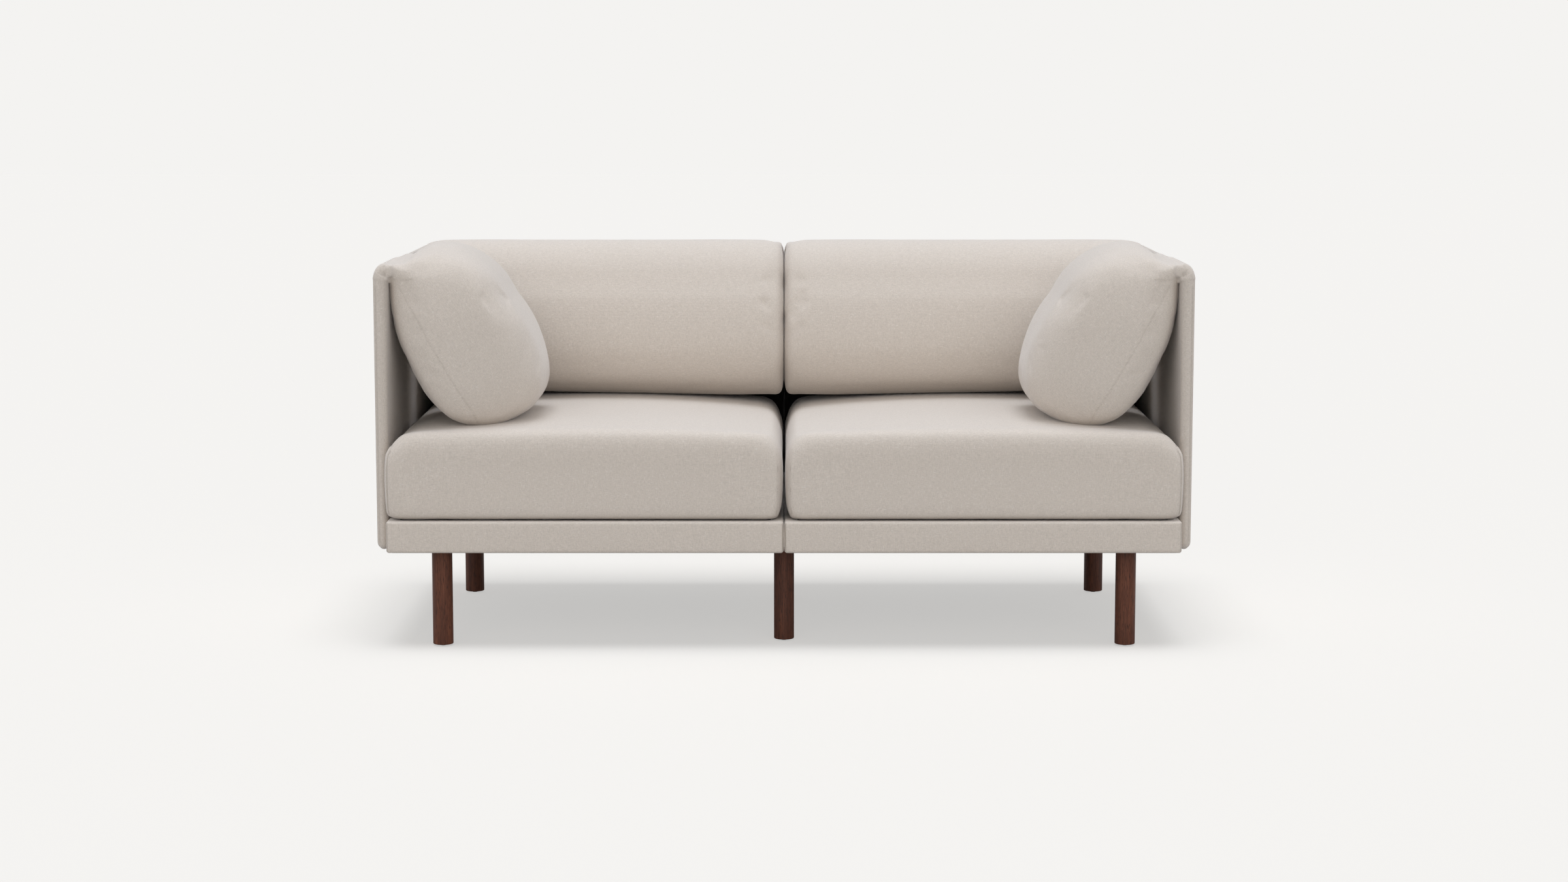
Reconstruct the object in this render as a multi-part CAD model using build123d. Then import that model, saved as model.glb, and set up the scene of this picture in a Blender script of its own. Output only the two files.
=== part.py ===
from build123d import *
import math
import os

os.makedirs("parts", exist_ok=True)

# Two-seater sofa made of two joined seat modules, with thin padded arm and back
# panels and thick pillows that hang from the panels' top edges.
# Millimetres. X runs across the sofa, -Y is its front, Z is up. The origin is on
# the floor, midway along the width and the depth.

# The whole sofa
overall_width = 1800.0
overall_depth = 870.0
panel_height = 851.0
base_height = 70.0
module_gap = 3.0
rest_gap = 0.3
cut_overrun = 5.0

# Legs and glides
leg_diameter = 45.0
leg_length = 212.5
leg_edge_radius = 1.5
leg_side_inset = 141.5
leg_front_inset = 60.0
leg_rear_inset = 138.0
middle_leg_setback = 62.0
glide_diameter = 19.0
glide_flat_diameter = 9.0
glide_height = 3.5
glide_pin_diameter = 3.0
glide_pin_length = 18.0

# Padded arm and back panels
arm_thickness = 25.5
arm_top_thickness = 31.0
back_thickness = 31.0
arm_front_setback = 40.0
panel_board_thickness = 15.0
panel_outer_padding = 7.0
panel_edge_padding = 8.0
panel_corner_radius = 14.0
panel_edge_radius = 7.0
panel_shoulder_radius = 30.0
panel_straight_height = 90.0

# Base frame of each module
rail_thickness = 25.0
cover_thickness = 3.0
cover_edge_radius = 5.0
dust_cover_thickness = 1.2
dust_cover_inset = 12.0
block_margin = 40.0
block_height = 32.0

# Leg plates and the plates that join the modules
plate_thickness = 3.0
plate_size = 60.0
link_plate_width = 56.0
link_plate_length = 64.0
plate_fit = 0.5
weld_nut_diameter = 15.0
weld_nut_height = 9.0
hanger_bolt_diameter = 8.0
hanger_bolt_in_leg = 32.0
screw_diameter = 4.5
screw_head_diameter = 9.0
screw_head_height = 2.5
screw_length = 20.0
screw_offset_x = 19.0
screw_offset_y = 22.0

# Bolts for the panels and between the modules
bolt_diameter = 8.0
bolt_head_diameter = 14.0
bolt_head_height = 5.0
bolt_grip_in_board = 11.0
bolt_place_shares = [-0.27, -0.02, 0.21]
# The back bolts stand between the springs, this many springs from the middle.
back_bolt_bay_counts = [1, 3, 4]

# Zigzag springs, their clips, and the deck above them
spring_count = 5
spring_wire_diameter = 3.8
spring_run = 34.0
spring_pitch = 26.0
spring_end_room = 25.0
clip_width = 24.0
clip_wall = 1.6
clip_tail_length = 16.0
deck_pad_thickness = 9.0
deck_pad_margin = 14.0
deck_cloth_thickness = 1.5

# Seat cushions
seat_side_height = 183.0
seat_crown = 25.0
seat_side_gap = 2.0
seat_side_bulge = 5.0
seat_rear_gap = 4.0
seat_top_radius = 42.0
seat_bottom_radius = 12.0
seat_core_inset = 46.0
seat_core_lift = 24.0
seat_core_drop = 26.0
seat_core_radius = 10.0
# Each row is the depth behind the end face, the inset there and the share of the crown.
seat_front_depths = [0.0, 5.0, 16.0, 42.0, 120.0, 250.0]
seat_front_insets = [15.0, 7.0, 2.0, 0.0, 0.0, 0.0]
seat_front_crown_shares = [0.1, 0.18, 0.32, 0.54, 0.85, 1.0]
seat_rear_depths = [0.0, 5.0, 16.0, 42.0, 120.0]
seat_rear_insets = [15.0, 7.0, 2.0, 0.0, 0.0]
seat_rear_crown_shares = [0.3, 0.5, 0.7, 0.9, 1.0]

# Pillows that hang from the panels: their reach into the seat, how far their lowest
# point stays above the seat cushions' side edges, and how far their crest stands
# above the panels.
pillow_reach = 340.0
arm_pillow_lift = 19.7
back_pillow_lift = 28.7
arm_pillow_crest = 38.0
back_pillow_crest = 10.0
arm_pillow_front_setback = 16.0
arm_pillow_rear_gap = 41.0
back_pillow_side_gap = 3.0
pillow_core_share = 0.66
pillow_core_inset = 70.0
pillow_core_pivot_share = 0.52
# The outline from the panel's top inner edge over the crest, round and back to the
# panel. Each arc is a point on the way and its end. A point is its share of the
# reach, of the crest above the panel's top and of the hang below it.
pillow_outline_shares = [
    ((0.17, 0.68, 0.0), (0.37, 1.0, 0.0)),
    ((0.60, 0.3, 0.0), (0.77, 0.0, 0.19)),
    ((0.915, 0.0, 0.45), (1.0, 0.0, 0.71)),
    ((0.972, 0.0, 0.86), (0.835, 0.0, 0.955)),
    ((0.62, 0.0, 1.0), (0.385, 0.0, 0.945)),
    ((0.13, 0.0, 0.655), (0.0, 0.0, 0.215)),
]
# Each row is the depth behind the pillow's end, its size there as a share of the
# full outline and the share of the crest.
arm_pillow_end_depths = [0.0, 5.0, 17.0, 45.0, 110.0]
arm_pillow_end_size_shares = [0.80, 0.885, 0.945, 0.985, 1.0]
arm_pillow_end_crest_shares = [0.06, 0.12, 0.22, 0.5, 0.9]
back_pillow_end_depths = [0.0, 4.0, 14.0, 40.0, 130.0]
back_pillow_end_size_shares = [0.925, 0.96, 0.985, 0.997, 1.0]
back_pillow_end_crest_shares = [0.2, 0.55, 0.8, 0.95, 1.0]

# Worked out from the sizes above
half_width = overall_width / 2
front_y = -overall_depth / 2
rear_y = overall_depth / 2
base_bottom = glide_height + leg_length
base_top = base_bottom + base_height
base_side_x = half_width - arm_thickness
base_rear_y = rear_y - back_thickness
inner_side_x = module_gap / 2
rail_bottom = base_bottom + cover_thickness
rail_top = base_top - cover_thickness
rail_out_x = base_side_x - cover_thickness
rail_in_x = inner_side_x + cover_thickness
rail_front_y = front_y + cover_thickness
rail_rear_y = base_rear_y - cover_thickness
frame_out_x = rail_out_x - rail_thickness
frame_in_x = rail_in_x + rail_thickness
frame_front_y = rail_front_y + rail_thickness
frame_rear_y = rail_rear_y - rail_thickness
arm_front_y = front_y + arm_front_setback
arm_inner_x = half_width - arm_top_thickness
outer_leg_x = half_width - leg_side_inset
front_leg_y = front_y + leg_front_inset
rear_leg_y = rear_y - leg_rear_inset
middle_front_leg_y = front_leg_y + middle_leg_setback
middle_rear_leg_y = rear_leg_y - middle_leg_setback
frame_middle_z = (base_bottom + base_top) / 2
seat_bottom = base_top + rest_gap
seat_side_top = seat_bottom + seat_side_height
arm_pillow_hang = panel_height - seat_side_top - arm_pillow_lift
back_pillow_hang = panel_height - seat_side_top - back_pillow_lift
spring_spacing = (frame_out_x - frame_in_x) / spring_count


def save(shape, name):
    """Write one piece to its own file."""
    export_step(shape, "parts/" + name + ".step")


def save_pair(right_shape, name):
    """Write a piece of the right-hand module and its mirror image on the left."""
    save(right_shape, name + "_right")
    save(mirror(right_shape, about=Plane.YZ), name + "_left")


def block(x0, x1, y0, y1, z0, z1):
    """A box between two corners."""
    middle = ((x0 + x1) / 2, (y0 + y1) / 2, (z0 + z1) / 2)
    return Pos(*middle) * Box(x1 - x0, y1 - y0, z1 - z0)


def rod_z(x, y, z0, z1, diameter):
    return Pos(x, y, (z0 + z1) / 2) * Cylinder(diameter / 2, z1 - z0)


def rod_x(x0, x1, y, z, diameter):
    return Pos((x0 + x1) / 2, y, z) * Rot(0, 90, 0) * Cylinder(diameter / 2, x1 - x0)


def rod_y(x, y0, y1, z, diameter):
    return Pos(x, (y0 + y1) / 2, z) * Rot(90, 0, 0) * Cylinder(diameter / 2, y1 - y0)


def group(shapes):
    """Separate solids that share one node."""
    return Compound(children=[solid for shape in shapes for solid in shape.solids()])


# Legs, glides and what fixes them

outer_leg_places = [
    ("front", front_leg_y),
    ("rear", rear_leg_y),
]
middle_leg_places = [
    ("front", middle_front_leg_y),
    ("rear", middle_rear_leg_y),
]


def glide(x, y):
    """A domed nylon glide with the nail that holds it in the leg."""
    flat = glide_flat_diameter / 2
    rim = glide_diameter / 2
    pin = glide_pin_diameter / 2
    dome_via = (flat + (rim - flat) * math.sin(math.pi / 4), 0, glide_height * (1 - math.cos(math.pi / 4)))
    outline = Polyline(
        (rim, 0, glide_height),
        (pin, 0, glide_height),
        (pin, 0, glide_height + glide_pin_length),
        (0, 0, glide_height + glide_pin_length),
        (0, 0, 0),
        (flat, 0, 0),
    )
    dome = ThreePointArc((flat, 0, 0), dome_via, (rim, 0, glide_height))
    return Pos(x, y, 0) * revolve(make_face(outline + dome), Axis.Z)


def hanger_bolt(x, y):
    top = base_bottom + plate_thickness + weld_nut_height
    return rod_z(x, y, base_bottom - hanger_bolt_in_leg, top, hanger_bolt_diameter)


def leg(x, y):
    """A plain round leg, bored for its hanger bolt and for the glide's nail."""
    post = rod_z(x, y, glide_height, base_bottom, leg_diameter)
    post = fillet(post.edges().group_by(Axis.Z)[0], leg_edge_radius)
    return post - hanger_bolt(x, y) - glide(x, y)


def plate(x, y, width, length):
    """A steel plate with a weld nut on top, bored for the hanger bolt."""
    top = base_bottom + plate_thickness
    sheet = block(x - width / 2, x + width / 2, y - length / 2, y + length / 2, base_bottom, top)
    nut = rod_z(x, y, top, top + weld_nut_height, weld_nut_diameter)
    return sheet + nut - hanger_bolt(x, y)


def plate_screws(x, y):
    """Four countersunk wood screws, driven up through the corners of a plate."""
    screws = []
    for side_x in (-1, 1):
        for side_y in (-1, 1):
            at_x = x + side_x * screw_offset_x
            at_y = y + side_y * screw_offset_y
            shank = rod_z(at_x, at_y, base_bottom, base_bottom + screw_length, screw_diameter)
            head = Pos(at_x, at_y, base_bottom + screw_head_height / 2) * Cone(
                screw_head_diameter / 2, screw_diameter / 2, screw_head_height
            )
            screws.append(shank + head)
    return screws


outer_leg_screws = {where: plate_screws(outer_leg_x, y) for where, y in outer_leg_places}
middle_leg_screws = {where: plate_screws(0, y) for where, y in middle_leg_places}
all_middle_screws = middle_leg_screws["front"] + middle_leg_screws["rear"]
all_outer_screws = outer_leg_screws["front"] + outer_leg_screws["rear"]

for where, y in outer_leg_places:
    save_pair(leg(outer_leg_x, y), "leg_" + where)
for where, y in middle_leg_places:
    save(leg(0, y), "leg_" + where + "_middle")

outer_glides = [glide(side * outer_leg_x, y) for side in (-1, 1) for where, y in outer_leg_places]
middle_glides = [glide(0, y) for where, y in middle_leg_places]
save(group(outer_glides + middle_glides), "glides")

outer_bolts = [hanger_bolt(side * outer_leg_x, y) for side in (-1, 1) for where, y in outer_leg_places]
middle_bolts = [hanger_bolt(0, y) for where, y in middle_leg_places]
save(group(outer_bolts + middle_bolts), "hanger_bolts")

right_plates = []
for where, y in outer_leg_places:
    leg_plate = plate(outer_leg_x, y, plate_size, plate_size)
    for screw in outer_leg_screws[where]:
        leg_plate -= screw
    right_plates.append(leg_plate)
left_plates = [mirror(leg_plate, about=Plane.YZ) for leg_plate in right_plates]
save(group(right_plates + left_plates), "leg_plates")

link_plates = []
for where, y in middle_leg_places:
    link_plate = plate(0, y, link_plate_width, link_plate_length)
    for screw in middle_leg_screws[where]:
        link_plate -= screw
    link_plates.append(link_plate)
save(group(link_plates), "link_plates")

left_screws = [mirror(screw, about=Plane.YZ) for screw in all_outer_screws]
save(group(all_outer_screws + left_screws + all_middle_screws), "plate_screws")


# Bolts that hold the panels and join the modules

board_face_x = half_width - panel_outer_padding - panel_board_thickness
board_face_y = rear_y - panel_outer_padding - panel_board_thickness


def arm_bolt(y):
    """From the inside of the outer rail into the arm panel's board."""
    head = rod_x(frame_out_x - bolt_head_height, frame_out_x, y, frame_middle_z, bolt_head_diameter)
    return head + rod_x(frame_out_x, board_face_x + bolt_grip_in_board, y, frame_middle_z, bolt_diameter)


def back_bolt(x):
    """From the inside of the rear rail into the back panel's board."""
    head = rod_y(x, frame_rear_y - bolt_head_height, frame_rear_y, frame_middle_z, bolt_head_diameter)
    return head + rod_y(x, frame_rear_y, board_face_y + bolt_grip_in_board, frame_middle_z, bolt_diameter)


def link_bolt(y):
    """Through both inner rails, with a head on one side and a nut on the other."""
    shank = rod_x(-frame_in_x, frame_in_x, y, frame_middle_z, bolt_diameter)
    head = rod_x(-frame_in_x - bolt_head_height, -frame_in_x, y, frame_middle_z, bolt_head_diameter)
    nut = rod_x(frame_in_x, frame_in_x + bolt_head_height, y, frame_middle_z, bolt_head_diameter)
    return shank + head + nut


arm_bolts = [arm_bolt(share * overall_depth) for share in bolt_place_shares]
back_bolts = [back_bolt(frame_in_x + bay * spring_spacing) for bay in back_bolt_bay_counts]
link_bolts = [link_bolt(share * overall_depth) for share in bolt_place_shares]
save(group(arm_bolts + [mirror(bolt, about=Plane.YZ) for bolt in arm_bolts]), "arm_bolts")
save(group(back_bolts + [mirror(bolt, about=Plane.YZ) for bolt in back_bolts]), "back_bolts")
save(group(link_bolts), "link_bolts")


def without(shape, cutters):
    """A piece with holes that fit what passes through it."""
    for cutter in cutters:
        shape -= cutter
    return shape


# Wooden frame of the right-hand module

middle_plates = [plate(0, y, link_plate_width, link_plate_length) for where, y in middle_leg_places]
front_rail = block(rail_in_x, rail_out_x, rail_front_y, frame_front_y, rail_bottom, rail_top)
rear_rail = block(rail_in_x, rail_out_x, frame_rear_y, rail_rear_y, rail_bottom, rail_top)
outer_rail = block(frame_out_x, rail_out_x, frame_front_y, frame_rear_y, rail_bottom, rail_top)
inner_rail = block(rail_in_x, frame_in_x, frame_front_y, frame_rear_y, rail_bottom, rail_top)
save_pair(front_rail, "front_rail")
save_pair(without(rear_rail, back_bolts), "rear_rail")
save_pair(without(outer_rail, arm_bolts), "outer_rail")
save_pair(
    without(inner_rail, link_bolts + all_middle_screws + middle_plates + middle_bolts),
    "inner_rail",
)

block_in_x = outer_leg_x - block_margin
block_top = rail_bottom + block_height
front_block = block(
    block_in_x, frame_out_x, frame_front_y, front_leg_y + block_margin, rail_bottom, block_top
)
rear_block = block(
    block_in_x, frame_out_x, rear_leg_y - block_margin, frame_rear_y, rail_bottom, block_top
)
outer_plates = [plate(outer_leg_x, y, plate_size, plate_size) for where, y in outer_leg_places]
right_outer_bolts = [hanger_bolt(outer_leg_x, y) for where, y in outer_leg_places]
leg_blocks = [
    without(part, outer_plates + all_outer_screws + right_outer_bolts)
    for part in (front_block, rear_block)
]
save_pair(group(leg_blocks), "leg_blocks")


# Upholstery over the base: a sleeve that wraps the rails

sleeve = block(inner_side_x, base_side_x, front_y, base_rear_y, base_bottom, base_top)
sleeve = fillet(sleeve.edges(), cover_edge_radius)
rail_space = block(rail_in_x, rail_out_x, rail_front_y, rail_rear_y, rail_bottom, rail_top)
well = block(
    frame_in_x, frame_out_x, frame_front_y, frame_rear_y,
    base_bottom - cut_overrun, base_top + cut_overrun,
)
plate_rooms = []
for where, y in middle_leg_places:
    room_x = link_plate_width / 2 + plate_fit
    room_y = link_plate_length / 2 + plate_fit
    plate_rooms.append(
        block(-room_x, room_x, y - room_y, y + room_y, base_bottom - cut_overrun, rail_bottom)
    )
    plate_rooms.append(
        rod_z(0, y, base_bottom, rail_bottom + weld_nut_height + plate_fit, weld_nut_diameter)
    )
base_cover = without(
    sleeve - rail_space - well, arm_bolts + back_bolts + link_bolts + plate_rooms
)
save_pair(base_cover, "base_cover")

dust_cover = block(
    inner_side_x + dust_cover_inset, base_side_x - dust_cover_inset,
    front_y + dust_cover_inset, base_rear_y - dust_cover_inset,
    base_bottom - dust_cover_thickness, base_bottom,
)
for where, y in outer_leg_places:
    room = plate_size / 2 + plate_fit
    dust_cover -= block(
        outer_leg_x - room, outer_leg_x + room, y - room, y + room,
        base_bottom - dust_cover_thickness - cut_overrun, base_bottom + cut_overrun,
    )
for where, y in middle_leg_places:
    room_x = link_plate_width / 2 + plate_fit
    room_y = link_plate_length / 2 + plate_fit
    dust_cover -= block(
        -room_x, room_x, y - room_y, y + room_y,
        base_bottom - dust_cover_thickness - cut_overrun, base_bottom + cut_overrun,
    )
save_pair(dust_cover, "dust_cover")


# Springs, clips and deck

deck_top = base_top
cloth_bottom = deck_top - deck_cloth_thickness
pad_bottom = cloth_bottom - deck_pad_thickness
spring_z = pad_bottom - spring_wire_diameter / 2
spring_room = frame_rear_y - frame_front_y - 2 * spring_end_room
spring_turns = 2 * math.floor(spring_room / spring_pitch / 2)
spring_span = spring_turns * spring_pitch
spring_middle_y = (frame_front_y + frame_rear_y) / 2
spring_front_y = spring_middle_y - spring_span / 2
spring_rear_y = spring_middle_y + spring_span / 2


def zigzag_spring(x):
    """Straight runs across, joined by half turns, ending in a straight bar."""
    path = []
    radius = spring_pitch / 2
    half_run = spring_run / 2
    side = 1
    y = spring_front_y
    path.append(Line((x - half_run, y, spring_z), (x + half_run, y, spring_z)))
    for turn in range(spring_turns):
        start = (x + side * half_run, y, spring_z)
        via = (x + side * (half_run + radius), y + radius, spring_z)
        end = (x + side * half_run, y + spring_pitch, spring_z)
        path.append(ThreePointArc(start, via, end))
        y += spring_pitch
        side = -side
        path.append(Line(end, (x + side * half_run, y, spring_z)))
    wire = Wire(path)
    start_plane = Plane(origin=wire @ 0, z_dir=wire % 0)
    return sweep(start_plane * Circle(spring_wire_diameter / 2), path=wire)


def spring_clip(x, bar_y, rail_face_y):
    """A strip screwed to the rail and folded into a hook, open at the top, for the end bar."""
    toward_rail = math.copysign(1, rail_face_y - bar_y)
    wire_radius = spring_wire_diameter / 2
    in_x = x - clip_width / 2
    out_x = x + clip_width / 2
    hook = rod_x(in_x, out_x, bar_y, spring_z, spring_wire_diameter + 2 * clip_wall)
    strap_y = bar_y + toward_rail * (wire_radius + clip_wall / 2)
    foot_y = rail_face_y - toward_rail * clip_wall
    strap_low = spring_z - clip_wall
    strap = block(
        in_x, out_x, min(strap_y, rail_face_y), max(strap_y, rail_face_y), strap_low, spring_z
    )
    foot = block(
        in_x, out_x, min(foot_y, rail_face_y), max(foot_y, rail_face_y),
        strap_low - clip_tail_length, spring_z,
    )
    bar = rod_x(in_x - cut_overrun, out_x + cut_overrun, bar_y, spring_z, spring_wire_diameter)
    mouth = block(
        in_x - cut_overrun, out_x + cut_overrun, bar_y - spring_pitch / 2, bar_y + spring_pitch / 2,
        spring_z + wire_radius / 2, deck_top,
    )
    return hook + strap + foot - bar - mouth


springs = []
clips = []
for number in range(spring_count):
    x = frame_in_x + spring_spacing * (number + 0.5)
    springs.append(zigzag_spring(x))
    clips.append(spring_clip(x, spring_front_y, frame_front_y))
    clips.append(spring_clip(x, spring_rear_y, frame_rear_y))
save_pair(group(springs), "zigzag_springs")
save_pair(group(clips), "spring_clips")

deck_pad = block(
    frame_in_x + deck_pad_margin, frame_out_x - deck_pad_margin,
    frame_front_y + deck_pad_margin, frame_rear_y - deck_pad_margin,
    pad_bottom, cloth_bottom,
)
save_pair(deck_pad, "deck_pad")
deck_cloth = block(
    frame_in_x, frame_out_x, frame_front_y, frame_rear_y, cloth_bottom, deck_top
)
save_pair(deck_cloth, "deck_cloth")


# Arm and back panels: a board inside a padded, upholstered cover

arm_board = block(
    board_face_x, half_width - panel_outer_padding,
    arm_front_y + panel_edge_padding, rear_y - panel_edge_padding,
    base_bottom + panel_edge_padding, panel_height - panel_edge_padding * 2,
)
arm_board = without(arm_board, arm_bolts)
save_pair(arm_board, "arm_board")


def panel_profile(thickness, top_thickness):
    """Section of a panel: across its thickness, measured in from the outer face."""
    shoulder = panel_shoulder_radius
    outline = Polyline(
        (shoulder, panel_height),
        (top_thickness, panel_height),
        (thickness, base_bottom + panel_straight_height),
        (thickness, base_bottom),
        (0, base_bottom),
        (0, panel_height - shoulder),
    )
    centre = (shoulder, panel_height - shoulder)
    return make_face(outline + CenterArc(centre, shoulder, 90, 90))


def padded_panel(section_plane, along, length, thickness, top_thickness):
    """A panel whose ends and lower edges are rounded by their padding."""
    panel = extrude(section_plane * panel_profile(thickness, top_thickness), length)
    ends = panel.faces().sort_by(along)
    corners = ends[0].edges().sort_by(Axis.Z)[:1] + ends[-1].edges().sort_by(Axis.Z)[:1]
    panel = fillet(corners, panel_corner_radius)
    ends = panel.faces().sort_by(along)
    return fillet(ends[0].edges() + ends[-1].edges(), panel_edge_radius)


arm_plane = Plane(origin=(half_width, arm_front_y, 0), x_dir=(-1, 0, 0), z_dir=(0, 1, 0))
arm_cover = padded_panel(
    arm_plane, Axis.Y, rear_y - arm_front_y, arm_thickness, arm_top_thickness
)
arm_cover = without(arm_cover - arm_board, arm_bolts)
save_pair(arm_cover, "arm_cover")

back_inner_x = inner_side_x
back_outer_x = arm_inner_x
back_board = block(
    back_inner_x + panel_edge_padding, back_outer_x - panel_edge_padding,
    board_face_y, rear_y - panel_outer_padding,
    base_bottom + panel_edge_padding, panel_height - panel_edge_padding * 2,
)
back_board = without(back_board, back_bolts)
save_pair(back_board, "back_board")

back_plane = Plane(origin=(back_outer_x, rear_y, 0), x_dir=(0, -1, 0), z_dir=(-1, 0, 0))
back_cover = padded_panel(
    back_plane, Axis.X, back_outer_x - back_inner_x, back_thickness, back_thickness
)
back_cover = without(back_cover - back_board, back_bolts)
save_pair(back_cover, "back_cover")


# Seat cushions: a foam core in a crowned, fibre-filled cover

seat_in_x = inner_side_x
seat_out_x = base_side_x - seat_side_gap
seat_middle_x = (seat_in_x + seat_out_x) / 2
seat_half_width = (seat_out_x - seat_in_x) / 2
seat_rear_y = base_rear_y - seat_rear_gap


def seat_section(y, inset, crown_share):
    """Outline across the cushion: flat below, bulged sides and a crowned top."""
    half = seat_half_width - inset
    bulge = seat_side_bulge
    side = half - bulge
    low = seat_bottom + inset
    high = seat_side_top - inset
    middle = (low + high) / 2
    plane = Plane(origin=(seat_middle_x, y, 0), x_dir=(1, 0, 0), z_dir=(0, -1, 0))
    outline = (
        Line((-side, low), (side, low))
        + ThreePointArc((side, low), (half, middle), (side, high))
        + ThreePointArc((side, high), (0, high + seat_crown * crown_share), (-side, high))
        + ThreePointArc((-side, high), (-half, middle), (-side, low))
    )
    face = plane * make_face(outline)
    face = fillet(face.vertices().group_by(Axis.Z)[-1], seat_top_radius)
    return fillet(face.vertices().group_by(Axis.Z)[0], seat_bottom_radius)


seat_sections = [
    seat_section(front_y + depth, inset, share)
    for depth, inset, share in zip(seat_front_depths, seat_front_insets, seat_front_crown_shares)
]
seat_sections += [
    seat_section(seat_rear_y - depth, inset, share)
    for depth, inset, share in zip(
        reversed(seat_rear_depths), reversed(seat_rear_insets), reversed(seat_rear_crown_shares)
    )
]
seat_form = loft(seat_sections, ruled=True)
seat_core = block(
    seat_in_x + seat_core_inset, seat_out_x - seat_core_inset,
    front_y + seat_core_inset, seat_rear_y - seat_core_inset,
    seat_bottom + seat_core_lift, seat_side_top - seat_core_drop,
)
seat_core = fillet(seat_core.edges(), seat_core_radius)
save_pair(seat_form - seat_core, "seat_cushion")
save_pair(seat_core, "seat_core")


# Pillows that hang from the panels' top edges

def pillow_section(plane, size_share, crest, hang, shift_share=0.0):
    """Outline of a pillow, from its hinge edge at the plane's origin.

    Local x runs from the panel into the seat and local y is up.
    """
    def point(shares):
        reach_share, crest_share, hang_share = shares
        x = pillow_reach * (reach_share * size_share + shift_share)
        y = crest * crest_share - hang * (hang_share * size_share + shift_share)
        return (rest_gap + x, y)

    start = point((0, 0, 0))
    outline = []
    for via, end in pillow_outline_shares:
        outline.append(ThreePointArc(start, point(via), point(end)))
        start = point(end)
    outline.append(Line(start, point((0, 0, 0))))
    return plane * make_face(outline)


def pillow_core(plane, length, crest, hang):
    """The filling: a smaller copy of the outline, well inside the cover."""
    shift_share = (1 - pillow_core_share) * pillow_core_pivot_share
    section = pillow_section(plane, pillow_core_share, crest, hang, shift_share)
    return extrude(section, length)


def arm_section_plane(y):
    return Plane(origin=(arm_inner_x, y, panel_height), x_dir=(-1, 0, 0), z_dir=(0, 1, 0))


def back_section_plane(x):
    return Plane(origin=(x, base_rear_y, panel_height), x_dir=(0, -1, 0), z_dir=(-1, 0, 0))


def end_rows(depths, sizes, crests):
    return list(zip(depths, sizes, crests))


arm_pillow_front_y = front_y + arm_front_setback + arm_pillow_front_setback
arm_pillow_rear_y = base_rear_y - pillow_reach - arm_pillow_rear_gap
arm_rows = end_rows(arm_pillow_end_depths, arm_pillow_end_size_shares, arm_pillow_end_crest_shares)
arm_sections = [
    pillow_section(
        arm_section_plane(arm_pillow_front_y + depth), size, arm_pillow_crest * crest, arm_pillow_hang
    )
    for depth, size, crest in arm_rows
]
arm_sections.append(
    pillow_section(
        arm_section_plane((arm_pillow_front_y + arm_pillow_rear_y) / 2), 1.0, arm_pillow_crest,
        arm_pillow_hang,
    )
)
arm_sections += [
    pillow_section(
        arm_section_plane(arm_pillow_rear_y - depth), size, arm_pillow_crest * crest, arm_pillow_hang
    )
    for depth, size, crest in reversed(arm_rows)
]
arm_form = loft(arm_sections, ruled=True)
arm_core = pillow_core(
    arm_section_plane(arm_pillow_front_y + pillow_core_inset),
    arm_pillow_rear_y - arm_pillow_front_y - 2 * pillow_core_inset,
    arm_pillow_crest,
    arm_pillow_hang,
)
save_pair(arm_form - arm_core, "arm_pillow")
save_pair(arm_core, "arm_pillow_core")

back_pillow_in_x = inner_side_x
back_pillow_out_x = arm_inner_x - back_pillow_side_gap
back_rows = end_rows(
    back_pillow_end_depths, back_pillow_end_size_shares, back_pillow_end_crest_shares
)
back_sections = [
    pillow_section(
        back_section_plane(back_pillow_out_x - depth), size, back_pillow_crest * crest,
        back_pillow_hang,
    )
    for depth, size, crest in back_rows
]
back_sections.append(
    pillow_section(
        back_section_plane((back_pillow_out_x + back_pillow_in_x) / 2), 1.0, back_pillow_crest,
        back_pillow_hang,
    )
)
back_sections += [
    pillow_section(
        back_section_plane(back_pillow_in_x + depth), size, back_pillow_crest * crest,
        back_pillow_hang,
    )
    for depth, size, crest in reversed(back_rows)
]
back_form = loft(back_sections, ruled=True)
back_core = pillow_core(
    back_section_plane(back_pillow_out_x - pillow_core_inset),
    back_pillow_out_x - back_pillow_in_x - 2 * pillow_core_inset,
    back_pillow_crest,
    back_pillow_hang,
)
save_pair(back_form - back_core, "back_cushion")
save_pair(back_core, "back_cushion_core")
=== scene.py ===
import math

import bpy
import numpy as np
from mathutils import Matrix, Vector
from mathutils.kdtree import KDTree


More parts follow.
